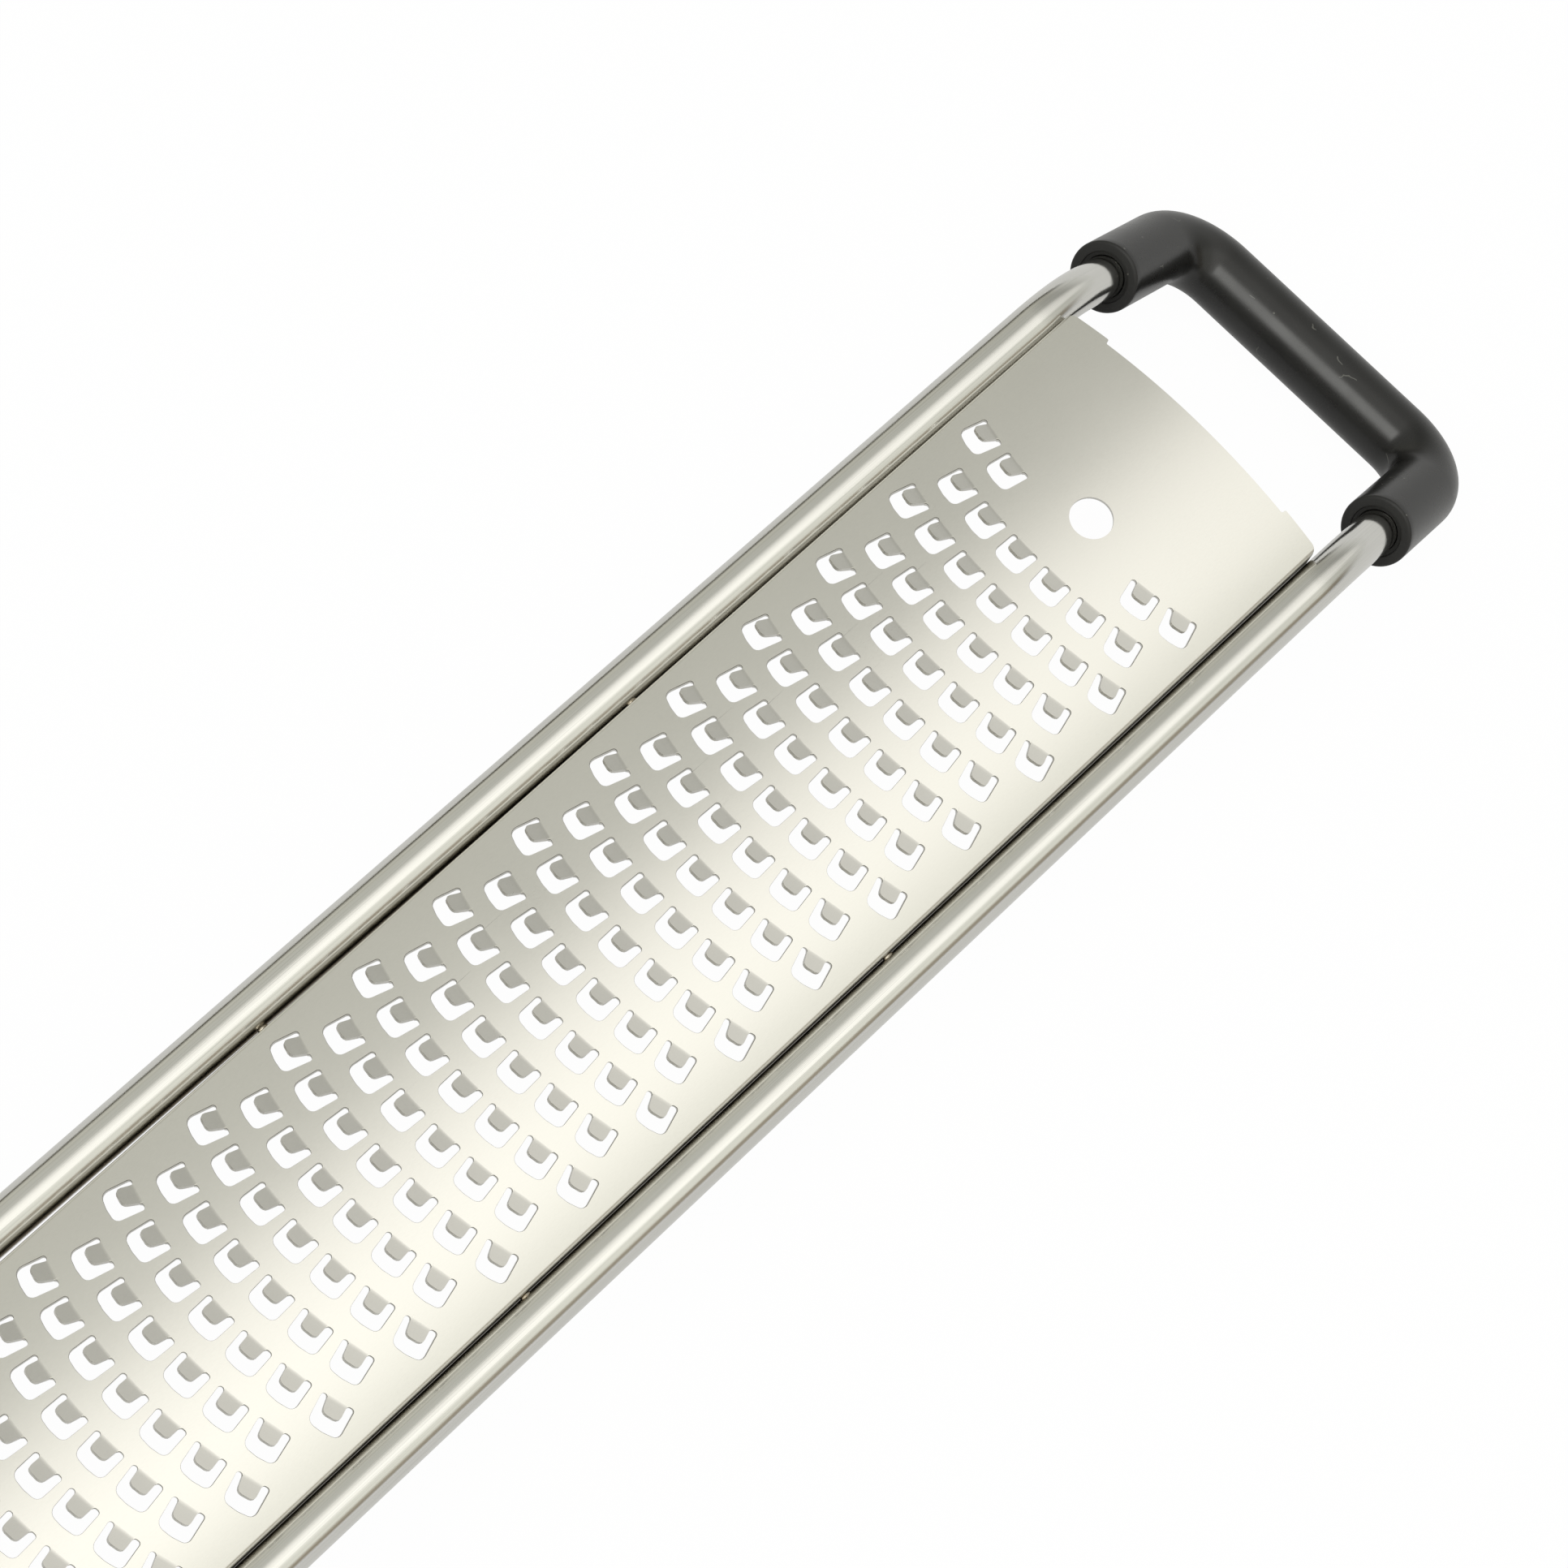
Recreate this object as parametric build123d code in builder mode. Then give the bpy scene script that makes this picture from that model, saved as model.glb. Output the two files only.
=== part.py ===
from build123d import *
from math import asin, cos, degrees, radians, sin, sqrt, tan
import os

# A wire-framed rasp zester: an arched, toothed sheet between two round rails.
# X runs across the blade, +Y along it to the tip, +Z up out of the teeth.
# The origin is under the middle of the whole tool, level with the foot's underside.
# All sizes are in millimetres.

# Wire frame
rod_diameter = 6.0
rail_spacing = 52.0
rail_below_crown = 6.1
rail_past_row = 28.6
leg_angle = 34.0
leg_lean = 4.0
foot_reach = 31.6
elbow_radius = 20.0
corner_radius = 8.2
shoulder_gap = 6.0
shoulder_angle = 55.0
shoulder_radius = 13.0
tail_spacing = 14.0
tail_depth = 62.0

# Blade sheet
sheet = 0.5
blade_side_gap = 0.05
crown_radius = 67.5
edge_bend = 0.9
flange_below_axis = 1.2
tip_margin = 26.9
back_margin = 11.0
tab_width = 6.6
tab_step = 0.7
tab_round = 1.1
step_round = 0.3
hole_diameter = 6.0
hole_past_row = 5.15

# Teeth
tooth_pitch = 6.2
row_pitch = 6.97
row_arc_radius = 58.4
row_count = 28
widest_columns = 7
hole_row_gap = 3
window_width = 4.45
window_front = 1.5
window_back = 2.55
window_corner = 0.75
ear_width = 0.9
ear_round = 0.32
tongue_root = 2.35
tongue_length = 2.3
tongue_tip_width = 2.2
tongue_tip_cut = 0.5
tongue_rise = 24.0
tongue_root_overlap = 0.3

# Tack welds
weld_pitch = 65.0
first_weld = 58.0
weld_count = 3
weld_diameter = 1.3
weld_above_axis = 0.75

# Rubber foot sleeve
sleeve_diameter = 10.5
sleeve_length_up_leg = 24.5
sleeve_bore_gap = 0.15
sleeve_step_width = 0.7
sleeve_step_depth = 0.4
sleeve_end_round = 0.35

# Handle
handle_length = 108.0
collar_length = 9.0
collar_wall = 0.8
collar_width = 28.0
collar_height = 19.5
grip_wall = 2.4
grip_length = 77.0
waist_place = 22.0
waist_width = 27.0
waist_height = 18.5
palm_place = 50.0
palm_width = 32.0
palm_height = 23.5
butt_width = 28.5
butt_height = 20.5
butt_round = 7.0
hang_hole_diameter = 8.0
hang_hole_from_end = 13.0
hang_hole_round = 0.5
tail_bore_gap = 0.1

side_share = 0.47
overrun = 2.0

# Places worked out from the sizes
rod_radius = rod_diameter / 2
sleeve_radius = sleeve_diameter / 2
rail_x = rail_spacing / 2
tail_x = tail_spacing / 2
leg = radians(leg_angle)
lean = radians(leg_lean)
foot_drop = foot_reach * tan(leg)
foot_z = sleeve_radius
rail_z = foot_z + foot_drop
crown_z = rail_z + rail_below_crown
leg_run = foot_reach / cos(leg)
foot_x = rail_x - leg_run * tan(lean)

shoulder = radians(shoulder_angle)
shoulder_run = (rail_x - tail_x) / tan(shoulder)
shoulder_tangent = shoulder_radius * tan(shoulder / 2)
blade_length_behind = (row_count - 1) * row_pitch + back_margin
whole_length = (
    handle_length
    + shoulder_run
    + 2 * shoulder_tangent
    + shoulder_gap
    + blade_length_behind
    + rail_past_row
    + foot_reach
    + sleeve_radius
)
handle_end_y = -whole_length / 2
handle_front_y = handle_end_y + handle_length
tail_corner_y = handle_front_y + shoulder_tangent
rail_corner_y = tail_corner_y + shoulder_run
row_y = rail_corner_y + shoulder_tangent + shoulder_gap + blade_length_behind
elbow_y = row_y + rail_past_row
foot_y = elbow_y + foot_reach
blade_tip_y = row_y + tip_margin
blade_back_y = row_y - blade_length_behind

blade_x = rail_x - rod_radius - blade_side_gap
flange_z = rail_z - flange_below_axis


def crown_height(x):
    """Height of the blade's upper face at the distance x from its middle."""
    return crown_z - crown_radius + sqrt(crown_radius**2 - x**2)


def rod_route():
    """Corners of the wire's centre line, from one tail round the foot to the other."""
    half = [
        (tail_x, handle_front_y - tail_depth, rail_z),
        (tail_x, tail_corner_y, rail_z),
        (rail_x, rail_corner_y, rail_z),
        (rail_x, elbow_y, rail_z),
        (foot_x, foot_y, foot_z),
    ]
    return half + [(-x, y, z) for x, y, z in reversed(half)]


bends = [shoulder_radius, shoulder_radius, elbow_radius, corner_radius]
bends = bends + list(reversed(bends))

# Wire frame: one rod bent at the shoulders, elbows and foot
with BuildPart() as frame_rod:
    with BuildLine() as rod_line:
        FilletPolyline(*rod_route(), radius=bends)
    with BuildSketch(Plane(rod_line.line @ 0, z_dir=rod_line.line % 0)):
        Circle(rod_radius)
    sweep()
frame_rod.part.label = "frame_rod"

# Blade: the arched sheet with its edges bent down, then its ends, windows and teeth
with BuildPart() as rasp_blade:
    edge_top_z = crown_height(blade_x)
    with BuildSketch(Plane.XZ.offset(-blade_tip_y)) as section:
        with Locations((0, crown_z - crown_radius)):
            Circle(crown_radius)
            Circle(crown_radius - sheet, mode=Mode.SUBTRACT)
        with Locations((0, (crown_z + flange_z) / 2)):
            Rectangle(2 * blade_x, crown_z - flange_z, mode=Mode.INTERSECT)
        for side in (-1, 1):
            with Locations((side * (blade_x - sheet / 2), (edge_top_z + flange_z) / 2)):
                Rectangle(sheet, edge_top_z - flange_z)
        bend_corners = section.vertices().filter_by_position(Axis.Z, edge_top_z - 2 * sheet, crown_z)
        outer_corners = bend_corners.filter_by(lambda v: abs(v.X) > blade_x - sheet / 2)
        inner_corners = bend_corners.filter_by(lambda v: abs(v.X) < blade_x - sheet / 2)
        fillet(outer_corners, edge_bend)
        fillet(inner_corners, edge_bend - sheet)
    extrude(amount=blade_tip_y - blade_back_y)

    # Both ends are set back between a tab at each edge, and the hole sits before the first row
    with BuildSketch(Plane.XY.offset(flange_z)) as outline:
        with Locations((0, (blade_tip_y + blade_back_y) / 2)):
            Rectangle(2 * blade_x, blade_tip_y - blade_back_y)
        for end_y in (blade_tip_y, blade_back_y):
            with Locations((0, end_y)):
                Rectangle(2 * (blade_x - tab_width), 2 * tab_step, mode=Mode.SUBTRACT)
        fillet(outline.vertices().filter_by(lambda v: abs(v.X) > blade_x - tab_width / 2), tab_round)
        fillet(outline.vertices().filter_by(lambda v: abs(v.X) < blade_x - tab_width / 2), step_round)
        with Locations((0, row_y + hole_past_row)):
            Circle(hole_diameter / 2, mode=Mode.SUBTRACT)
    extrude(amount=crown_z + overrun - flange_z, mode=Mode.INTERSECT)


def tooth_places():
    """Places of the teeth, row by row back from the tip, with the turn of each."""
    places = []
    for row in range(row_count):
        columns = widest_columns - row % 2
        for column in range(columns):
            across = (column - (columns - 1) / 2) * tooth_pitch
            if row == 0 and abs(across) < hole_row_gap / 2 * tooth_pitch:
                continue
            turn = across / row_arc_radius
            x = row_arc_radius * sin(turn)
            y = row_y - row * row_pitch + row_arc_radius * (1 - cos(turn))
            places.append((x, y, turn))
    return places


def window_outline():
    """Half outline of a window, from its handle end round to the tongue's root."""
    half = window_width / 2
    ear = half - ear_width
    right = [
        (half - window_corner, -window_front),
        (half, window_corner - window_front),
        (half, window_back - ear_round),
        (half - ear_round, window_back),
        (ear + ear_round, window_back),
        (ear, tongue_root),
    ]
    return right + [(-x, y) for x, y in reversed(right)]


def tongue_outline():
    """Outline of a tongue in its own plane, from its root to its cut tip."""
    root = window_width / 2 - ear_width
    tip = tongue_tip_width / 2
    right = [
        (root, tongue_root_overlap),
        (root, 0),
        (tip, tongue_tip_cut - tongue_length),
        (tip - tongue_tip_cut, -tongue_length),
    ]
    return right + [(-x, y) for x, y in reversed(right)]


def tongue_plane(x, y, turn):
    """Plane of a tongue's upper face, raised towards the handle out of the sheet."""
    tilt = asin(x / crown_radius)
    across = Vector(cos(turn) * cos(tilt), sin(turn), -cos(turn) * sin(tilt)).normalized()
    normal = Vector(sin(tilt), 0, cos(tilt))
    along = normal.cross(across)
    root = Vector(x, y, crown_height(x)) + along * tongue_root
    rise = radians(tongue_rise)
    raised = normal * cos(rise) + along * sin(rise)
    return Plane(root, x_dir=across, z_dir=raised)


# One tongue lies in its own plane and is set at each tooth
with BuildPart() as tongue:
    with BuildSketch():
        Polygon(*tongue_outline(), align=None)
    extrude(amount=-sheet)

with rasp_blade:
    teeth = tooth_places()
    with BuildSketch(Plane.XY.offset(flange_z)):
        with Locations(*[Location((x, y, 0), (0, 0, degrees(turn))) for x, y, turn in teeth]):
            Polygon(*window_outline(), align=None)
    extrude(amount=crown_z + overrun - flange_z, mode=Mode.SUBTRACT)
    with Locations(*[tongue_plane(x, y, turn).location for x, y, turn in teeth]):
        add(tongue.part)
rasp_blade.part.label = "rasp_blade"

# Tack welds: beads in the creases between the blade's edges and the rails
with BuildPart() as tack_welds:
    weld_ys = [row_y - first_weld - weld * weld_pitch for weld in range(weld_count)]
    for side in (-1, 1):
        with BuildSketch(Plane.YZ.offset(side * blade_x)):
            with Locations(*[(weld_y, rail_z + weld_above_axis) for weld_y in weld_ys]):
                Circle(weld_diameter / 2)
        extrude(amount=side * rod_radius / 2)
    with BuildSketch(Plane.XZ.offset(-weld_ys[0] - weld_diameter)):
        with Locations((-rail_x, rail_z), (rail_x, rail_z)):
            Circle(rod_radius)
    extrude(amount=weld_ys[0] - weld_ys[-1] + 2 * weld_diameter, mode=Mode.SUBTRACT)
tack_welds.part.label = "tack_welds"


def sleeve_route():
    """Corners of the foot sleeve's centre line, up one leg, across and up the other."""
    up_leg = Vector(rail_x - foot_x, -foot_reach, foot_drop).normalized() * sleeve_length_up_leg
    corner = Vector(foot_x, foot_y, foot_z)
    other = Vector(-foot_x, foot_y, foot_z)
    return [corner + up_leg, corner, other, other + Vector(-up_leg.X, up_leg.Y, up_leg.Z)]


# Foot sleeve: a rubber tube on the bent end of the wire
with BuildPart() as foot_sleeve:
    with BuildLine() as sleeve_line:
        FilletPolyline(*sleeve_route(), radius=corner_radius)
    with BuildSketch(Plane(sleeve_line.line @ 0, z_dir=sleeve_line.line % 0)):
        Circle(sleeve_radius)
        Circle(rod_radius + sleeve_bore_gap, mode=Mode.SUBTRACT)
    sweep()
    for place in (0, 1):
        inward = sleeve_line.line % place * (1 - 2 * place)
        with BuildSketch(Plane(sleeve_line.line @ place, z_dir=inward)):
            Circle(rod_radius + sleeve_bore_gap + sleeve_step_width)
        extrude(amount=sleeve_step_depth, mode=Mode.SUBTRACT)
    rims = foot_sleeve.edges().filter_by(GeomType.CIRCLE)
    outer_rims = rims.filter_by(lambda rim: abs(rim.radius - sleeve_radius) < sleeve_bore_gap)
    fillet(outer_rims.sort_by(Axis.Z)[-2:], sleeve_end_round)
foot_sleeve.part.label = "foot_sleeve"


def handle_plane(back):
    """Plane across the handle, facing its end, at a distance back from its front."""
    return Plane((0, handle_front_y - back, rail_z), x_dir=(1, 0, 0), z_dir=(0, -1, 0))


def oval(width, height):
    """Cross-section of the handle: a rectangle with nearly half-round sides."""
    return RectangleRounded(width, height, min(width, height) * side_share)


grip_end = collar_length + grip_length
grip_sections = [
    (collar_length, collar_width, collar_height),
    (collar_length + waist_place, waist_width, waist_height),
    (collar_length + palm_place, palm_width, palm_height),
    (grip_end, butt_width, butt_height),
]

# Handle collar: a drawn steel cap on the front of the handle, pierced by the wire's tails
with BuildPart() as handle_collar:
    with BuildSketch(handle_plane(0)):
        oval(collar_width, collar_height)
    extrude(amount=collar_length)
    with BuildSketch(handle_plane(collar_wall)):
        oval(collar_width - 2 * collar_wall, collar_height - 2 * collar_wall)
    extrude(amount=collar_length, mode=Mode.SUBTRACT)
    with BuildSketch(handle_plane(0)):
        with Locations((-tail_x, 0), (tail_x, 0)):
            Circle(rod_radius + tail_bore_gap)
    extrude(amount=collar_length, mode=Mode.SUBTRACT)
handle_collar.part.label = "handle_collar"

# Handle core: the hard moulding round the wire's tails, waisted for the grip
with BuildPart() as handle_core:
    with BuildSketch(handle_plane(collar_wall)):
        oval(collar_width - 2 * collar_wall, collar_height - 2 * collar_wall)
    extrude(amount=collar_length - collar_wall)
    for back, width, height in grip_sections:
        with BuildSketch(handle_plane(back)):
            oval(width - 2 * grip_wall, height - 2 * grip_wall)
    loft()
    with BuildSketch(handle_plane(grip_end)):
        oval(butt_width, butt_height)
    extrude(amount=handle_length - grip_end)
    fillet(handle_core.faces().sort_by(Axis.Y)[0].edges(), butt_round)
    with BuildSketch(handle_plane(0)):
        with Locations((-tail_x, 0), (tail_x, 0)):
            Circle(rod_radius + tail_bore_gap)
    extrude(amount=tail_depth + tail_bore_gap, mode=Mode.SUBTRACT)
    with BuildSketch(Plane.XY.offset(rail_z - butt_height)):
        with Locations((0, handle_end_y + hang_hole_from_end)):
            Circle(hang_hole_diameter / 2)
    extrude(amount=2 * butt_height, mode=Mode.SUBTRACT)
    mouths = handle_core.edges().filter_by(GeomType.CIRCLE)
    mouths = mouths.filter_by(lambda mouth: abs(mouth.radius - hang_hole_diameter / 2) < hang_hole_round)
    fillet(mouths.filter_by(lambda mouth: abs(mouth.normal().Z) > side_share), hang_hole_round)
handle_core.part.label = "handle_core"

# Handle grip: the soft skin moulded over the core between the collar and the butt
with BuildPart() as handle_grip:
    for back, width, height in grip_sections:
        with BuildSketch(handle_plane(back)):
            oval(width, height)
    loft()
    for back, width, height in grip_sections:
        with BuildSketch(handle_plane(back)):
            oval(width - 2 * grip_wall, height - 2 * grip_wall)
    loft(mode=Mode.SUBTRACT)
handle_grip.part.label = "handle_grip"

os.makedirs("parts", exist_ok=True)
pieces = [frame_rod, rasp_blade, tack_welds, foot_sleeve, handle_collar, handle_core, handle_grip]
for piece in pieces:
    export_step(piece.part, f"parts/{piece.part.label}.step")
    print(piece.part.label, len(piece.part.solids()), round(piece.part.volume, 1))
print("whole length", round(whole_length, 1), "crown height", round(crown_z, 2))
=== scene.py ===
from math import atan2, cos, pi, radians, sin, sqrt, tan

import bmesh
import bpy
from mathutils import Matrix, Vector


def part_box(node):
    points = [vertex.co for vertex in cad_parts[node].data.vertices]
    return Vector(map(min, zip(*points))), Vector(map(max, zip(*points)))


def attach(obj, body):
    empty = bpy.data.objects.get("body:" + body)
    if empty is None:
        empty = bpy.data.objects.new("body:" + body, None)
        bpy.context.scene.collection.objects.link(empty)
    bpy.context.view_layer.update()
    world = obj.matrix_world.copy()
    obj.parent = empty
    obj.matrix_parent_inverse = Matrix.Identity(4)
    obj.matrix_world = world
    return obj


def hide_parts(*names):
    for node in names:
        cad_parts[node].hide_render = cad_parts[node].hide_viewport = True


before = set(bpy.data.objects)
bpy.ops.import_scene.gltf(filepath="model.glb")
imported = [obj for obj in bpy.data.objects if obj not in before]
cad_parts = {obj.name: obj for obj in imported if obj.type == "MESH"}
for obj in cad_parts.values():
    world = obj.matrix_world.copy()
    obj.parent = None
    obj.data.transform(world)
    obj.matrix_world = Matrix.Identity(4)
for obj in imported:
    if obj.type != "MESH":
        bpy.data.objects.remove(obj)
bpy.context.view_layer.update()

scene = bpy.context.scene
mm = 0.001
print("frame: nodes", len(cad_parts))

# Places that the solids give, and the first row of teeth behind the blade's tip
rail = {"radius": 3.0 * mm, "halfSpacing": 26.0 * mm, "belowCrown": 6.45 * mm}
tipMargin = 26.9 * mm
bladeLow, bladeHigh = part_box("rasp_blade")
collarLow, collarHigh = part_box("handle_collar")
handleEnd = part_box("handle_core")[0].y
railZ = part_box("frame_rod")[1].z - rail["radius"]
crownZ = railZ + rail["belowCrown"]
rowY = bladeHigh.y - tipMargin


# Helpers for meshes

def placed(name, data):
    thing = bpy.data.objects.new(name, data)
    scene.collection.objects.link(thing)
    return thing


# an object from a bmesh, with its faces turned outwards
def meshObject(name, bm):
    bmesh.ops.recalc_face_normals(bm, faces=bm.faces)
    mesh = bpy.data.meshes.new(name)
    bm.to_mesh(mesh)
    bm.free()
    return placed(name, mesh)


def makePiece(name, bm, material, sharpAngle):
    return finishPiece(meshObject(name, bm), material, sharpAngle)


def finishPiece(piece, material, sharpAngle):
    mesh = piece.data
    if not mesh.materials:
        mesh.materials.append(material)
    mesh.shade_smooth()
    mesh.set_sharp_from_angle(angle=radians(sharpAngle))
    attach(piece, "root")
    print("made", piece.name, len(mesh.polygons), "faces")
    return piece


# keeps what a piece's modifiers make of it as its plain mesh
def keepResult(piece):
    graph = bpy.context.evaluated_depsgraph_get()
    graph.update()
    mesh = bpy.data.meshes.new_from_object(piece.evaluated_get(graph))
    piece.modifiers.clear()
    old = piece.data
    piece.data = mesh
    mesh.name = piece.name
    bpy.data.meshes.remove(old)


def removeTools(*tools):
    for tool in tools:
        mesh = tool.data
        bpy.data.objects.remove(tool)
        bpy.data.meshes.remove(mesh)


# quads between rings of points, with a UV map: once round across, metres along
def skinRings(rings, loop=False):
    bm = bmesh.new()
    uvLayer = bm.loops.layers.uv.new("along")
    count = len(rings[0])
    verts = [[bm.verts.new(p) for p in ring] for ring in rings]
    middles = [sum(ring, Vector()) / count for ring in rings]
    along = [0.0]
    for a, b in zip(middles, middles[1:]):
        along.append(along[-1] + (b - a).length)
    pairs = list(zip(range(len(rings) - 1), range(1, len(rings))))
    if loop:
        pairs.append((len(rings) - 1, 0))
    for r, s in pairs:
        for j in range(count):
            k = (j + 1) % count
            face = bm.faces.new((verts[r][j], verts[s][j], verts[s][k], verts[r][k]))
            spots = ((j, r), (j, s), (j + 1, s), (j + 1, r))
            for corner, (u, v) in zip(face.loops, spots):
                corner[uvLayer].uv = (u / count, along[v])
    if not loop:
        bm.faces.new(verts[0])
        bm.faces.new(verts[-1])
    return bm


# points of a bent wire: straight runs, with an arc at each inner corner
def roundedRoute(corners, radii, turnStep=4.0, runStep=0.03):
    points = [Vector(corners[0])]
    for i in range(1, len(corners) - 1):
        here = Vector(corners[i])
        before = (Vector(corners[i - 1]) - here).normalized()
        after = (Vector(corners[i + 1]) - here).normalized()
        opening = before.angle(after)
        reach = radii[i - 1] / tan(opening / 2)
        centre = here + (before + after).normalized() * radii[i - 1] / sin(opening / 2)
        first, last = here + before * reach, here + after * reach
        steps = max(2, int((pi - opening) / radians(turnStep)))
        arm, endArm = first - centre, last - centre
        side = arm.normalized()
        other = (endArm - side * endArm.dot(side)).normalized()
        runTo(points, first, runStep)
        for k in range(1, steps + 1):
            t = (pi - opening) * k / steps
            points.append(centre + (side * cos(t) + other * sin(t)) * radii[i - 1])
    runTo(points, Vector(corners[-1]), runStep)
    return points


def runTo(points, end, step):
    start = points[-1].copy()
    pieces = max(1, int((end - start).length / step))
    for k in range(1, pieces + 1):
        points.append(start.lerp(end, k / pieces))


# a centre, an across and an up direction at each point, turning as little as they can
def routeFrames(points):
    frames = []
    up = Vector((0, 0, 1))
    for i, p in enumerate(points):
        ahead = (points[min(i + 1, len(points) - 1)] - points[max(i - 1, 0)]).normalized()
        up = (up - ahead * up.dot(ahead)).normalized()
        frames.append((p, ahead.cross(up), up))
    return frames


def ringAt(place, radius, count):
    centre, across, up = place
    # the seam is on the underside
    return [centre + (across * sin(2 * pi * j / count) - up * cos(2 * pi * j / count)) * radius
            for j in range(count)]


# a closed outline from corners of x, y and radius
def roundedOutline(corners, arcSteps=3):
    points = []
    for i, (x, y, radius) in enumerate(corners):
        here = Vector((x, y))
        before = Vector(corners[i - 1][:2]) - here
        nextCorner = corners[(i + 1) % len(corners)]
        after = Vector(nextCorner[:2]) - here
        if radius <= 0:
            points.append(here)
            continue
        a, b = before.normalized(), after.normalized()
        opening = a.angle(b)
        reach = radius / tan(opening / 2)
        centre = here + (a + b).normalized() * radius / sin(opening / 2)
        first, last = here + a * reach - centre, here + b * reach - centre
        sweep = first.angle_signed(last)
        for k in range(arcSteps + 1):
            t = -sweep * k / arcSteps
            points.append(centre + Vector((first.x * cos(t) - first.y * sin(t),
                                           first.x * sin(t) + first.y * cos(t))))
    return points


# a tool: outlines in plan, one above the other, joined by walls
def prism(name, outlines):
    bm = bmesh.new()
    count = len(outlines[0][1])
    verts = [bm.verts.new((p.x, p.y, z)) for z, outline in outlines for p in outline]
    bm.faces.new(verts[:count][::-1])
    bm.faces.new(verts[-count:])
    for first in range(0, len(verts) - count, count):
        for j in range(count):
            k = (j + 1) % count
            bm.faces.new([verts[first + n] for n in (j, k, count + k, count + j)])
    return meshObject(name, bm)


# Helpers for nodes

# adds and joins nodes in one tree, set out from left to right
class Nodes:
    def __init__(self, tree):
        self.tree, self.column = tree, 0

    def add(self, kind, values=None, **settings):
        node = self.tree.nodes.new(kind)
        node.location = (self.column * 180, -(self.column % 4) * 160)
        self.column += 1
        for key, value in settings.items():
            setattr(node, key, value)
        for key, value in (values or {}).items():
            if isinstance(value, bpy.types.NodeSocket):
                self.tree.links.new(value, node.inputs[key])
            else:
                node.inputs[key].default_value = value
        return node

    def link(self, a, b):
        self.tree.links.new(a, b)

    def math(self, operation, a, b=0.0):
        return self.add("ShaderNodeMath", {0: a, 1: b}, operation=operation).outputs[0]

    # the sum of two values, each times its share
    def weigh(self, a, shareA, b, shareB):
        return self.math("ADD", self.math("MULTIPLY", a, shareA), self.math("MULTIPLY", b, shareB))

    # a value from one range in another
    def mapped(self, value, source, target, **settings):
        return self.add("ShaderNodeMapRange", {0: value, 1: source[0], 2: source[1], 3: target[0],
                        4: target[1]}, **settings).outputs[0]

    def mixColour(self, share, a, b):
        return self.add("ShaderNodeMix", {0: share, 6: a, 7: b}, data_type="RGBA").outputs[2]

    def mixShader(self, share, a, b):
        return self.add("ShaderNodeMixShader", {0: share, 1: a.outputs[0], 2: b.outputs[0]})

    def place(self):
        return self.add("ShaderNodeTexCoord").outputs["Object"]

    # noise on coordinates that a Mapping node scales, so that it can run in lines
    def noise(self, source, scale, detail=3.0, roughness=0.6):
        mapping = self.add("ShaderNodeMapping", {"Vector": source, "Scale": scale})
        return self.add("ShaderNodeTexNoise", {"Vector": mapping.outputs[0], "Scale": 1.0,
                        "Detail": detail, "Roughness": roughness}).outputs["Fac"]

    # a colour ramp, with a place and a grey or colour at each stop
    def ramp(self, factor, stops):
        node = self.add("ShaderNodeValToRGB", {0: factor})
        elements = node.color_ramp.elements
        while len(elements) > 1:
            elements.remove(elements[-1])
        for i, (place, colour) in enumerate(stops):
            element = elements[0] if i == 0 else elements.new(place)
            element.position = place
            if not isinstance(colour, tuple):
                colour = (colour, colour, colour)
            element.color = (*colour, 1)
        return node.outputs[0]


def clearedNodes(owner):
    owner.use_nodes = True
    owner.node_tree.nodes.clear()
    return Nodes(owner.node_tree)


def newTree(name, inputs):
    tree = bpy.data.node_groups.new(name, "GeometryNodeTree")
    for label, kind in inputs:
        tree.interface.new_socket(label, in_out="INPUT", socket_type="NodeSocket" + kind)
    tree.interface.new_socket("Geometry", in_out="OUTPUT", socket_type="NodeSocketGeometry")
    nodes = Nodes(tree)
    return tree, nodes, nodes.add("NodeGroupInput").outputs


# ends a tree: the copies made real, and the steel put on
def endTree(nodes, geometry, steel):
    whole = nodes.add("GeometryNodeRealizeInstances", {"Geometry": geometry}).outputs[0]
    painted = nodes.add("GeometryNodeSetMaterial", {"Geometry": whole, "Material": steel}).outputs[0]
    nodes.link(painted, nodes.add("NodeGroupOutput").inputs[0])


# runs a node tree on a piece and keeps the result
def applyTree(piece, tree, values):
    modifier = piece.modifiers.new(tree.name, "NODES")
    modifier.node_group = tree
    for socket in tree.interface.items_tree:
        if socket.in_out == "INPUT" and socket.name in values:
            modifier[socket.identifier] = values[socket.name]
    keepResult(piece)


# Materials

def newMaterial(name, constants):
    material = bpy.data.materials.new(name)
    nodes = clearedNodes(material)
    shader = nodes.add("ShaderNodeBsdfPrincipled", constants)
    nodes.add("ShaderNodeOutputMaterial", {0: shader.outputs[0]})
    return material, nodes, shader


# roughness that goes from a finish's smoothest to its roughest with a pattern
def roughness(nodes, pattern, finish):
    return nodes.mapped(pattern, (0.3, 0.7), finish["roughness"])


# joins a finish's colour, relief and roughness to its shader
def dress(nodes, shader, finish, colour, relief, rough=None):
    nodes.link(colour, shader.inputs["Base Color"])
    if rough is not None:
        nodes.link(rough, shader.inputs["Roughness"])
    bump = nodes.add("ShaderNodeBump", {"Strength": finish["bump"], "Distance": finish["depth"],
                     "Height": relief})
    nodes.link(bump.outputs[0], shader.inputs["Normal"])


# stops of a ramp from one colour, darker and paler
def shades(finish):
    colour = finish["colour"]
    return [(place, tuple(min(1, c * factor) for c in colour)) for place, factor in finish["shades"]]


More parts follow.
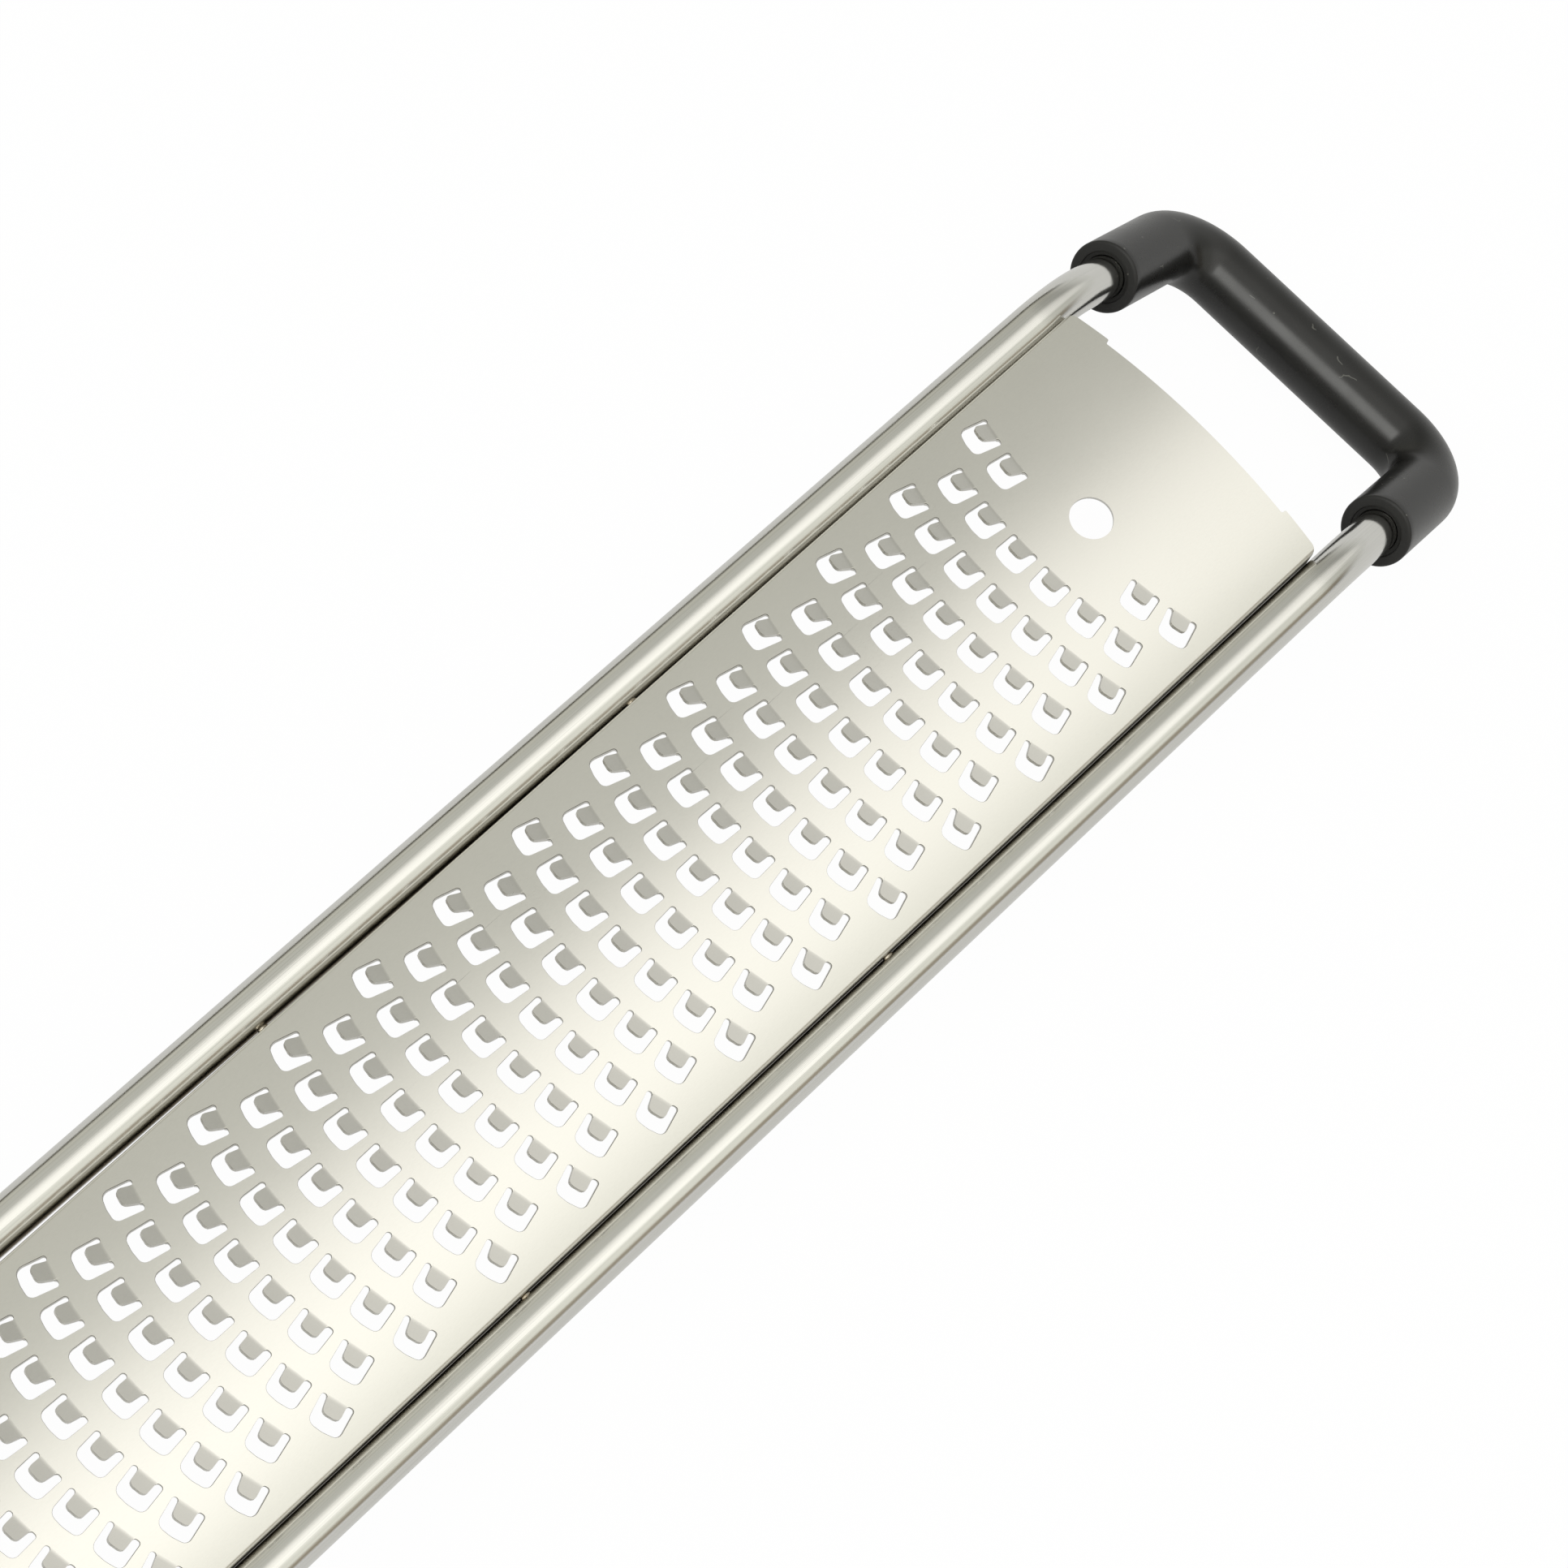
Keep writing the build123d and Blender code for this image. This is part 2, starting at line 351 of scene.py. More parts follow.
# the crease colour is painted shade, with some grime, low on the bent edge beside the rails
bladeFinish = {"colour": (0.74, 0.73, 0.69), "shades": [(0.25, 0.955), (0.5, 1.0), (0.75, 1.03)],
               "roughness": (0.27, 0.34), "grain": (5200, 1500, 5200), "cloud": (60, 35, 60),
               "lines": (2600, 90, 2600), "bump": 0.05, "depth": 0.04 * mm, "rim": (0.30, 0.29, 0.26, 1),
               "creaseShade": (0.26, 0.225, 0.175, 1), "creaseShadeHeights": (0.7 * mm, 2.2 * mm)}


def bladeSteel():
    finish = bladeFinish
    material, nodes, shader = newMaterial("bladeSteel", {"Metallic": 1.0})
    place = nodes.place()
    grain = nodes.noise(place, finish["grain"], 2.0)
    cloud = nodes.noise(place, finish["cloud"], 4.0, 0.55)
    lines = nodes.noise(place, finish["lines"], 2.0)
    tone = nodes.weigh(cloud, 0.55, grain, 0.45)
    # painted shade, with some grime: the bent edge is painted dark where it goes down into the crease
    height = nodes.add("ShaderNodeSeparateXYZ", {0: place}).outputs[2]
    unshaded = nodes.mapped(height, [railZ + h for h in finish["creaseShadeHeights"]], (0.0, 1.0))
    colour = nodes.mixColour(unshaded, finish["creaseShade"], nodes.ramp(tone, shades(finish)))
    # the rim colour is painted shade: a dark outline painted on the sloped edges round the windows
    rim = nodes.add("ShaderNodeAttribute", attribute_name="rim").outputs["Fac"]
    rimShaded = nodes.mixColour(rim, colour, finish["rim"])
    relief = nodes.weigh(grain, 0.6, lines, 0.4)
    dress(nodes, shader, finish, rimShaded, relief, roughness(nodes, tone, finish))
    return material


rodFinish = {"colour": (0.67, 0.665, 0.635), "shades": [(0.30, 0.82), (0.46, 1.0), (0.72, 1.07)],
             "roughness": (0.08, 0.17), "lines": (170, 16, 1), "fine": (620, 60, 1),
             "ticks": (26, 2600, 1), "smudge": (70, 22, 70), "bump": 0.15, "depth": 0.05 * mm}


# lines and ticks run along the wire, on its UV map
def rodSteel():
    finish = rodFinish
    material, nodes, shader = newMaterial("rodSteel", {"Metallic": 1.0})
    uv = nodes.add("ShaderNodeUVMap", uv_map="along").outputs[0]
    lines = nodes.noise(uv, finish["lines"])
    fine = nodes.noise(uv, finish["fine"], 2.0)
    ticks = nodes.noise(uv, finish["ticks"], 2.0)
    smudge = nodes.noise(nodes.place(), finish["smudge"])
    tone = nodes.weigh(lines, 0.6, fine, 0.4)
    wear = nodes.weigh(smudge, 0.7, fine, 0.3)
    relief = nodes.weigh(tone, 0.8, ticks, 0.12)
    dress(nodes, shader, finish, nodes.ramp(tone, shades(finish)), relief, roughness(nodes, wear, finish))
    return material


weldFinish = {"tints": [(0.3, (0.20, 0.155, 0.10)), (0.5, (0.38, 0.34, 0.27)), (0.7, (0.50, 0.47, 0.42))],
              "heat": (2400, 2400, 2400), "roughness": 0.38, "bump": 0.6, "depth": 0.1 * mm}


def weldSteel():
    finish = weldFinish
    material, nodes, shader = newMaterial("weldSteel", {"Metallic": 1.0, "Roughness": finish["roughness"]})
    heat = nodes.noise(nodes.place(), finish["heat"])
    dress(nodes, shader, finish, nodes.ramp(heat, finish["tints"]), heat)
    return material


sleeveFinish = {"colour": (0.0075, 0.0075, 0.0073), "shades": [(0.3, 0.8), (0.7, 1.35)],
                "roughness": (0.24, 0.32), "endRoughness": 0.35, "specular": 0.48,
                "cloud": (130, 130, 130), "fine": (5200, 5200, 5200), "bump": 0.06, "depth": 0.2 * mm,
                "dust": (0.11, 0.11, 0.10, 1), "dustShare": 0.75,
                "specks": {"scale": 700.0, "size": 0.11, "past": 0.88},
                "lint": {"scale": 150.0, "width": 0.008, "patches": 210.0, "past": 0.66, "waves": 260.0,
                         "bend": 4 * mm}}


def sleeveRubber():
    finish, specks, lint = sleeveFinish, sleeveFinish["specks"], sleeveFinish["lint"]
    material, nodes, shader = newMaterial("sleeveRubber", {"Specular IOR Level": finish["specular"]})
    place = nodes.place()
    cloud = nodes.noise(place, finish["cloud"], 4.0)
    fine = nodes.noise(place, finish["fine"], 2.0)
    # dust: the middles of a few cells
    cells = nodes.add("ShaderNodeTexVoronoi", {"Vector": place, "Scale": specks["scale"]})
    spot = nodes.math("LESS_THAN", cells.outputs["Distance"], specks["size"])
    chosen = nodes.add("ShaderNodeSeparateColor", {0: cells.outputs["Color"]}).outputs[0]
    dots = nodes.math("MULTIPLY", spot, nodes.math("GREATER_THAN", chosen, specks["past"]))
    # lint: a few short, crooked threads
    waves = nodes.add("ShaderNodeTexNoise", {"Vector": place, "Scale": lint["waves"]}).outputs["Color"]
    shift = nodes.add("ShaderNodeVectorMath", {0: waves, "Scale": lint["bend"]}, operation="SCALE").outputs[0]
    bent = nodes.add("ShaderNodeVectorMath", {0: place, 1: shift}, operation="ADD").outputs[0]
    threads = nodes.add("ShaderNodeTexVoronoi", {"Vector": bent, "Scale": lint["scale"]},
                        feature="DISTANCE_TO_EDGE").outputs["Distance"]
    patch = nodes.add("ShaderNodeTexNoise", {"Vector": place, "Scale": lint["patches"],
                      "Detail": 1.0}).outputs["Fac"]
    thread = nodes.math("MULTIPLY", nodes.math("LESS_THAN", threads, lint["width"]),
                        nodes.math("GREATER_THAN", patch, lint["past"]))
    dust = nodes.math("MULTIPLY", nodes.math("MAXIMUM", dots, thread), finish["dustShare"])
    colour = nodes.mixColour(dust, nodes.ramp(cloud, shades(finish)), finish["dust"])
    # the cut ends are matte
    ends = nodes.add("ShaderNodeAttribute", attribute_name="cutEnd").outputs["Fac"]
    rough = nodes.math("ADD", roughness(nodes, cloud, finish),
                       nodes.math("MULTIPLY", ends, finish["endRoughness"]))
    relief = nodes.weigh(fine, 0.3, cloud, 1.0)
    dress(nodes, shader, finish, colour, relief, rough)
    return material


plasticFinish = {"tints": [(0.3, (0.022, 0.022, 0.022)), (0.7, (0.032, 0.032, 0.031))],
                 "roughness": (0.38, 0.48), "cloud": (90, 60, 90), "spark": (2600, 2600, 2600),
                 "bump": 0.25, "depth": 0.12 * mm}


def handlePlastic():
    finish = plasticFinish
    material, nodes, shader = newMaterial("handlePlastic", {})
    place = nodes.place()
    spark = nodes.noise(place, finish["spark"])
    cloud = nodes.noise(place, finish["cloud"])
    dress(nodes, shader, finish, nodes.ramp(cloud, finish["tints"]), spark, roughness(nodes, cloud, finish))
    return material


softFinish = {"tints": [(0.3, (0.030, 0.030, 0.030)), (0.7, (0.046, 0.046, 0.045))],
              "roughness": (0.62, 0.74), "cloud": (70, 45, 70), "pebble": 1150.0,
              "bump": 0.35, "depth": 0.3 * mm}


def gripSoft():
    finish = softFinish
    material, nodes, shader = newMaterial("gripSoft", {})
    place = nodes.place()
    pebble = nodes.add("ShaderNodeTexVoronoi", {"Vector": place, "Scale": finish["pebble"]},
                       feature="SMOOTH_F1").outputs["Distance"]
    cloud = nodes.noise(place, finish["cloud"], 4.0)
    dress(nodes, shader, finish, nodes.ramp(cloud, finish["tints"]), pebble, roughness(nodes, cloud, finish))
    return material


steelSheet, steelRod, steelWeld = bladeSteel(), rodSteel(), weldSteel()
blackRubber, blackPlastic, softGrip = sleeveRubber(), handlePlastic(), gripSoft()
print("materials ready")


# Blade: the arched sheet, stamped by a node tree

blade = {"halfWidth": 22.95 * mm, "sheet": 0.5 * mm, "crownRadius": 67.5 * mm, "edgeBend": 0.9 * mm,
         "bendSteps": 8, "columns": 92, "flangeBelowAxis": 1.2 * mm, "tabWidth": 6.6 * mm,
         "tabStep": 0.7 * mm, "tabRound": 1.1 * mm, "stepRound": 0.3 * mm, "holeRadius": 3.0 * mm,
         "holeSides": 48, "holePastRow": 5.15 * mm, "edgeSoft": 0.10 * mm, "edgeRise": 0.6,
         "cutBelow": 4 * mm, "cutAbove": 3 * mm, "sharp": 30}
teeth = {"rows": 28, "widest": 7, "pitch": 6.2 * mm, "rowPitch": 6.97 * mm, "rowArc": 58.4 * mm,
         "holeGap": 9.3 * mm, "tongueShare": 0.96, "stampBelow": 1.1 * mm, "stampAbove": 0.7 * mm}
# a window's corners: across, along and rounding, in millimetres from the tooth's middle
windowCorners = [(-2.36, -1.38, 1.12), (-0.08, -1.62, 4.0), (2.16, -1.40, 0.95), (2.19, 2.58, 0.38),
                 (1.36, 2.58, 0.36), (1.14, 2.24, 0.0), (-1.58, 2.24, 0.0), (-1.60, 2.58, 0.38),
                 (-2.42, 2.58, 0.40)]
# a tongue's place along, sides and rise, from inside the sheet to the tip, in millimetres
tongueStations = [(3.05, -1.60, 1.15, -0.03), (2.62, -1.59, 1.14, -0.004), (2.36, -1.58, 1.13, 0.04),
                  (2.10, -1.565, 1.10, 0.13), (0.95, -1.52, 1.00, 0.63), (0.60, -1.42, 0.90, 0.775),
                  (0.38, -1.18, 0.64, 0.865), (0.27, -0.80, 0.28, 0.91)]
archMiddle = crownZ - blade["crownRadius"]


# the sheet's outside and inside points, pair by pair, from one edge to the other
def bladeSection():
    bend, sheet, steps = blade["edgeBend"], blade["sheet"], blade["bendSteps"]
    bendX = blade["halfWidth"] - bend
    bendZ = archMiddle + sqrt((blade["crownRadius"] - bend) ** 2 - bendX ** 2)
    edgeAngle = atan2(bendX, bendZ - archMiddle)
    bottom = railZ - blade["flangeBelowAxis"]
    half = [((blade["halfWidth"], bottom), (blade["halfWidth"] - sheet, bottom))]
    for k in range(steps + 1):
        t = (pi / 2) + (edgeAngle - pi / 2) * k / steps
        half.append(tuple((bendX + r * sin(t), bendZ + r * cos(t)) for r in (bend, bend - sheet)))
    columns, crown = blade["columns"], blade["crownRadius"]
    for k in range(1, columns // 2 + 1):
        t = edgeAngle * (1 - 2 * k / columns)
        half.append(tuple((r * sin(t), archMiddle + r * cos(t)) for r in (crown, crown - sheet)))
    mirrored = [((-a[0], a[1]), (-b[0], b[1])) for a, b in reversed(half[:-1])]
    return half + mirrored


def bladeBlank():
    section = bladeSection()
    count = len(section)
    bm = bmesh.new()
    ends = []
    for y in (bladeLow.y, bladeHigh.y):
        ends.append(([bm.verts.new((a[0], y, a[1])) for a, b in section],
                     [bm.verts.new((b[0], y, b[1])) for a, b in section]))
    near, far = ends
    for k in range(count - 1):
        for side in (0, 1):
            bm.faces.new((near[side][k], near[side][k + 1], far[side][k + 1], far[side][k]))
        for outer, inner in ends:
            bm.faces.new((outer[k], outer[k + 1], inner[k + 1], inner[k]))
    for k in (0, count - 1):
        bm.faces.new((near[0][k], far[0][k], far[1][k], near[1][k]))
    return meshObject("bladeSheet", bm)


# an outline moved out by a distance
def grown(outline, distance):
    found = []
    for i, here in enumerate(outline):
        before, after = outline[i - 1], outline[(i + 1) % len(outline)]
        along = (after - before).normalized()
        found.append(here + Vector((along.y, -along.x)) * distance)
    return found


# the sheet in plan: both ends set back between a tab at each edge
def bladeOutline():
    edge, tabX = blade["halfWidth"], blade["halfWidth"] - blade["tabWidth"]
    step, small, tabRound = blade["tabStep"], blade["stepRound"], blade["tabRound"]
    low, high = bladeLow.y, bladeHigh.y
    right = [(tabX, low + step, small), (tabX, low, small), (edge, low, tabRound),
             (edge, high, tabRound), (tabX, high, small), (tabX, high - step, small)]
    left = [(-x, y, radius) for x, y, radius in reversed(right)]
    return roundedOutline(right + left, arcSteps=5)


def tongueSolid():
    bm = bmesh.new()
    top, under = [], []
    thick, last = blade["sheet"] * teeth["tongueShare"], len(tongueStations) - 1
    for i, (y, left, right, rise) in enumerate(tongueStations):
        before, after = tongueStations[max(i - 1, 0)], tongueStations[min(i + 1, last)]
        slope = Vector((0, after[0] - before[0], after[3] - before[3])).normalized()
        down = Vector((0, -abs(slope.z), -abs(slope.y))) * thick
        points = [Vector((x, y, rise)) * mm for x in (left, (left + right) / 2, right)]
        top.append([bm.verts.new(p) for p in points])
        under.append([bm.verts.new(p + down) for p in points])
    for a, b, c, d in zip(top, top[1:], under, under[1:]):
        for k in (0, 1):
            bm.faces.new((a[k], a[k + 1], b[k + 1], b[k]))
            bm.faces.new((c[k], d[k], d[k + 1], c[k + 1]))
        for k in (0, 2):
            bm.faces.new((a[k], b[k], d[k], c[k]))
    for a, c in ((top[0], under[0]), (top[-1], under[-1])):
        for k in (0, 1):
            bm.faces.new((a[k], c[k], c[k + 1], a[k + 1]))
    return meshObject("tongueTool", bm)


# sets the windows and tongues out in staggered, arched rows, and stamps them in the sheet
def stampTree():
    tree, nodes, given = newTree("stampTeeth", (
        ("Geometry", "Geometry"), ("Outline", "Object"), ("Hole", "Object"), ("Window", "Object"),
        ("Tongue", "Object"), ("Rows", "Int"), ("Widest Row", "Int"), ("Tooth Pitch", "Float"),
        ("Row Pitch", "Float"), ("Row Arc", "Float"), ("Hole Gap", "Float"), ("First Row", "Float"),
        ("Crown Height", "Float"), ("Crown Radius", "Float"), ("Steel", "Material")))
    calc = nodes.math
    index = nodes.add("GeometryNodeInputIndex").outputs[0]
    widest, arc, crown = given["Widest Row"], given["Row Arc"], given["Crown Radius"]
    row = calc("FLOOR", calc("DIVIDE", calc("ADD", index, 0.5), widest))
    column = calc("SUBTRACT", index, calc("MULTIPLY", row, widest))
    inRow = calc("SUBTRACT", widest, calc("FLOORED_MODULO", row, 2.0))
    middle = calc("DIVIDE", calc("SUBTRACT", inRow, 1.0), 2.0)
    across = calc("MULTIPLY", calc("SUBTRACT", column, middle), given["Tooth Pitch"])
    turn = calc("DIVIDE", across, arc)
    x = calc("MULTIPLY", arc, calc("SINE", turn))
    bow = calc("MULTIPLY", arc, calc("SUBTRACT", 1.0, calc("COSINE", turn)))
    back = calc("MULTIPLY", row, given["Row Pitch"])
    y = calc("ADD", calc("SUBTRACT", given["First Row"], back), bow)
    fall = calc("SQRT", calc("SUBTRACT", calc("POWER", crown, 2.0), calc("POWER", x, 2.0)))
    z = calc("ADD", calc("SUBTRACT", given["Crown Height"], crown), fall)
    place = nodes.add("ShaderNodeCombineXYZ", {0: x, 1: y, 2: z}).outputs[0]
    line = nodes.add("GeometryNodeMeshLine", {"Count": calc("MULTIPLY", given["Rows"], widest)})
    placedRows = nodes.add("GeometryNodeSetPosition", {"Geometry": line.outputs[0], "Position": place})
    # no seventh tooth in a short row, and none beside the hole
    extra = calc("GREATER_THAN", column, calc("SUBTRACT", inRow, 0.5))
    nearHole = calc("LESS_THAN", calc("ABSOLUTE", across), given["Hole Gap"])
    dropped = calc("MAXIMUM", extra, calc("MULTIPLY", nearHole, calc("LESS_THAN", row, 0.5)))
    points = nodes.add("GeometryNodeDeleteGeometry", {"Geometry": placedRows.outputs[0],
                       "Selection": dropped}, domain="POINT").outputs[0]
    # each tooth stands square on the arch and faces along its row's radius
    spot = nodes.add("GeometryNodeInputPosition").outputs[0]
    sideways = nodes.add("ShaderNodeSeparateXYZ", {0: spot}).outputs[0]

    def sineAndCosine(radius):
        sine = calc("DIVIDE", sideways, radius)
        return sine, calc("SQRT", calc("SUBTRACT", 1.0, calc("POWER", sine, 2.0)))

    lean, upright = sineAndCosine(crown)
    normal = nodes.add("ShaderNodeCombineXYZ", {0: lean, 2: upright}).outputs[0]
    turned, ahead = sineAndCosine(arc)
    rightwards = nodes.add("ShaderNodeCombineXYZ", {0: ahead, 1: turned}).outputs[0]
    rotation = nodes.add("FunctionNodeAxesToRotation", {"Primary Axis": normal, "Secondary Axis": rightwards},
                         primary_axis="Z", secondary_axis="X").outputs[0]

    def tool(name):
        return nodes.add("GeometryNodeObjectInfo", {"Object": given[name]}).outputs["Geometry"]

    def atTeeth(name):
        copies = nodes.add("GeometryNodeInstanceOnPoints", {"Points": points, "Instance": tool(name),
                           "Rotation": rotation}).outputs[0]
        return nodes.add("GeometryNodeRealizeInstances", {"Geometry": copies}).outputs[0]

    def combine(operation, first, second):
        node = nodes.add("GeometryNodeMeshBoolean", operation=operation, solver="MANIFOLD")
        nodes.link(second, node.inputs["Mesh 2"])
        nodes.link(first, node.inputs["Mesh 1" if operation == "DIFFERENCE" else "Mesh 2"])
        return node.outputs[0]

    cutters = nodes.add("GeometryNodeJoinGeometry")
    nodes.link(atTeeth("Window"), cutters.inputs[0])
    nodes.link(tool("Hole"), cutters.inputs[0])
    sheet = combine("INTERSECT", given["Geometry"], tool("Outline"))
    sheet = combine("DIFFERENCE", sheet, cutters.outputs[0])
    endTree(nodes, combine("UNION", sheet, atTeeth("Tongue")), given["Steel"])
    return tree


# the arch shades as one smooth form, whatever faces the stamping leaves, and the slopes round the
# windows are marked for the material's painted dark outline, a painted shade
def shadeArch(mesh):
    rimShade = mesh.attributes.new("rim", "FLOAT", "FACE")
    crown, rimReach, steep, gentle = blade["crownRadius"], 1.2 * blade["edgeSoft"], 0.3, 0.9
    # how near a face of the arch lies to its radius, and the least cosine between their directions
    near, level = 0.03 * mm, 0.997
    normals = [corner.vector.copy() for corner in mesh.corner_normals]
    for polygon in mesh.polygons:
        ray = Vector((polygon.center.x, 0, polygon.center.z - archMiddle))
        slope = polygon.normal.dot(ray.normalized())
        if steep < slope < gentle and abs(ray.length - crown) < rimReach:
            rimShade.data[polygon.index].value = 1.0
        for radius, side in ((crown, 1), (crown - blade["sheet"], -1)):
            if slope * side > level and abs(ray.length - radius) < near:
                for corner in polygon.loop_indices:
                    spot = mesh.vertices[mesh.loops[corner].vertex_index].co
                    normals[corner] = Vector((spot.x, 0, spot.z - archMiddle)).normalized() * side
    mesh.normals_split_custom_set(normals)


# a tool that reaches from below the bent edges to above the crown
def throughBlade(name, outline):
    return prism(name, [(railZ - blade["cutBelow"], outline), (crownZ + blade["cutAbove"], outline)])


def holeCircle():
    radius, middle, sides = blade["holeRadius"], rowY + blade["holePastRow"], blade["holeSides"]
    turns = [2 * pi * k / sides for k in range(sides)]
    return [Vector((radius * cos(t), middle + radius * sin(t))) for t in turns]


sheetPiece = bladeBlank()
outlineTool = throughBlade("outlineTool", bladeOutline())
holeTool = throughBlade("holeTool", holeCircle())
# the windows flare out a little at the top, which softens their edges
windowLine = [p * mm for p in roundedOutline(windowCorners, arcSteps=4)]
flare = blade["edgeSoft"]
softLine = grown(windowLine, flare)
windowTool = prism("windowTool", [(-teeth["stampBelow"], windowLine), (-flare, windowLine),
                                  (flare * blade["edgeRise"], softLine), (teeth["stampAbove"], softLine)])
tongueTool = tongueSolid()
applyTree(sheetPiece, stampTree(), {
    "Outline": outlineTool, "Hole": holeTool, "Window": windowTool, "Tongue": tongueTool,
    "Rows": teeth["rows"], "Widest Row": teeth["widest"], "Tooth Pitch": teeth["pitch"],
    "Row Pitch": teeth["rowPitch"], "Row Arc": teeth["rowArc"], "Hole Gap": teeth["holeGap"],
    "First Row": rowY, "Crown Height": crownZ, "Crown Radius": blade["crownRadius"], "Steel": steelSheet})
removeTools(outlineTool, holeTool, windowTool, tongueTool)
finishPiece(sheetPiece, steelSheet, blade["sharp"])
shadeArch(sheetPiece.data)
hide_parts("rasp_blade")


# Wire frame

# the left side was bent by hand: the rail starts wider and ends narrower, and its foot sits askew
rod = {"legLean": 2.25, "footReach": 32.3 * mm, "elbowRadius": 20 * mm,
       "startWider": 0.82 * mm, "endNarrower": 0.48 * mm, "footWider": 0.62 * mm, "footShort": 0.7 * mm,
       "cornerRadius": 8.3 * mm, "shoulderRadius": 13 * mm, "shoulderAngle": 55.0,
       "tailX": 7 * mm, "tailDepth": 62 * mm, "railPastRow": 28.6 * mm, "sides": 72, "sharp": 32}
sleeve = {"radius": 5.1 * mm, "bore": 3.03 * mm, "upRight": 24.4 * mm, "upLeft": 25.1 * mm,
          "lipWidth": 0.62 * mm, "lipDepth": 0.3 * mm, "lipRound": 0.12 * mm, "endRound": 0.45 * mm,
          "bendStep": 4.0, "runStep": 1.5 * mm, "sides": 96, "sharp": 50}


# corners of the right half from the tail to the foot, of the left half, and of the whole wire
def rodCorners():
    handleFront = collarHigh.y
    shoulder = radians(rod["shoulderAngle"])
    cornerY = handleFront + rod["shoulderRadius"] * tan(shoulder / 2)
    railStart = cornerY + (rail["halfSpacing"] - rod["tailX"]) / tan(shoulder)
    elbowY = rowY + rod["railPastRow"]
    footZ = sleeve["radius"]
    legRun = sqrt(rod["footReach"] ** 2 + (railZ - footZ) ** 2)
    footX = rail["halfSpacing"] - legRun * tan(radians(rod["legLean"]))
    half = [(rod["tailX"], handleFront - rod["tailDepth"], railZ), (rod["tailX"], cornerY, railZ),
            (rail["halfSpacing"], railStart, railZ), (rail["halfSpacing"], elbowY, railZ),
            (footX, elbowY + rod["footReach"], footZ)]
    drift = [(0, 0), (0, 0), (rod["startWider"], 0), (-rod["endNarrower"], 0),
             (rod["footWider"], rod["footShort"])]
    other = [(-x - wider, y - shorter, z) for (x, y, z), (wider, shorter) in zip(half, drift)]
    return half, other, half + other[::-1]


rightCorners, leftCorners, allCorners = rodCorners()
bends = [rod["shoulderRadius"], rod["shoulderRadius"], rod["elbowRadius"], rod["cornerRadius"]]
rodPath = roundedRoute(allCorners, bends + bends[::-1])
rodRings = [ringAt(place, rail["radius"], rod["sides"]) for place in routeFrames(rodPath)]
rodPiece = makePiece("wireFrame", skinRings(rodRings), steelRod, rod["sharp"])
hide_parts("frame_rod")


# Foot sleeve

# the wire's own line round its foot, as far up each leg as the sleeve goes
def sleevePlaces():
    ends, feet = [], []
    for side, length in ((rightCorners, sleeve["upRight"]), (leftCorners, sleeve["upLeft"])):
        foot = Vector(side[4])
        ends.append(foot + (Vector(side[3]) - foot).normalized() * length)
        feet.append(foot)
    corners, radii = [ends[0], *feet, ends[1]], [rod["cornerRadius"]] * 2
    return routeFrames(roundedRoute(corners, radii, sleeve["bendStep"], sleeve["runStep"]))


def sleeveRings(places):
    radius, bore, sides, edge = sleeve["radius"], sleeve["bore"], sleeve["sides"], sleeve["endRound"]
    lip, soft, depth = bore + sleeve["lipWidth"], sleeve["lipRound"], sleeve["lipDepth"]
    # radius and depth at each ring of an end: the rounded rim, then the step round the bore
    turns = [pi / 8 * k for k in range(5)]
    profile = [(radius - edge * (1 - cos(t)), edge * (1 - sin(t))) for t in turns]
    profile += [(lip + 3 * soft, 0), (lip + soft, 0), (lip + 0.3 * soft, 0.3 * soft), (lip, soft),
                (lip, depth - soft), (lip - soft, depth), (bore + soft, depth), (bore, depth + soft)]

    def endRings(place, following):
        centre, across, up = place
        inward = (following[0] - centre).normalized()
        return [ringAt((centre + inward * deep, across, up), size, sides) for size, deep in profile]

    outside, inside = ([ringAt(place, size, sides) for place in places[1:-1]] for size in (radius, bore))
    first, last = endRings(places[0], places[1]), endRings(places[-1], places[-2])
    return first[::-1] + outside + last + inside[::-1]


# marks the cut ends, whose middles lie close to the two end planes
def markEnds(mesh, places):
    marks = mesh.attributes.new("cutEnd", "FLOAT", "FACE")
    reach, deep = 1.1 * sleeve["radius"], 1.1 * sleeve["lipDepth"]
    for polygon in mesh.polygons:
        for at, other in ((places[0][0], places[1][0]), (places[-1][0], places[-2][0])):
            inward = (other - at).normalized()
            away = polygon.center - at
            if away.length < reach and abs(away.dot(inward)) < deep:
                marks.data[polygon.index].value = abs(polygon.normal.dot(inward))


sleevePath = sleevePlaces()
sleeveSkin = skinRings(sleeveRings(sleevePath), loop=True)
sleevePiece = makePiece("footSleeve", sleeveSkin, blackRubber, sleeve["sharp"])
markEnds(sleevePiece.data, sleevePath)
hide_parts("foot_sleeve")


# Tack welds in the creases beside the blade

weld = {"first": 56.5 * mm, "pitch": 65 * mm, "count": 3, "pastEdge": 0.22 * mm, "aboveAxis": 0.8 * mm,
        "radius": 0.62 * mm, "stretch": (0.55, 1.25, 1.0), "lumps": 1800.0, "lumpHeight": 0.4 * mm,
        "sharp": 60}


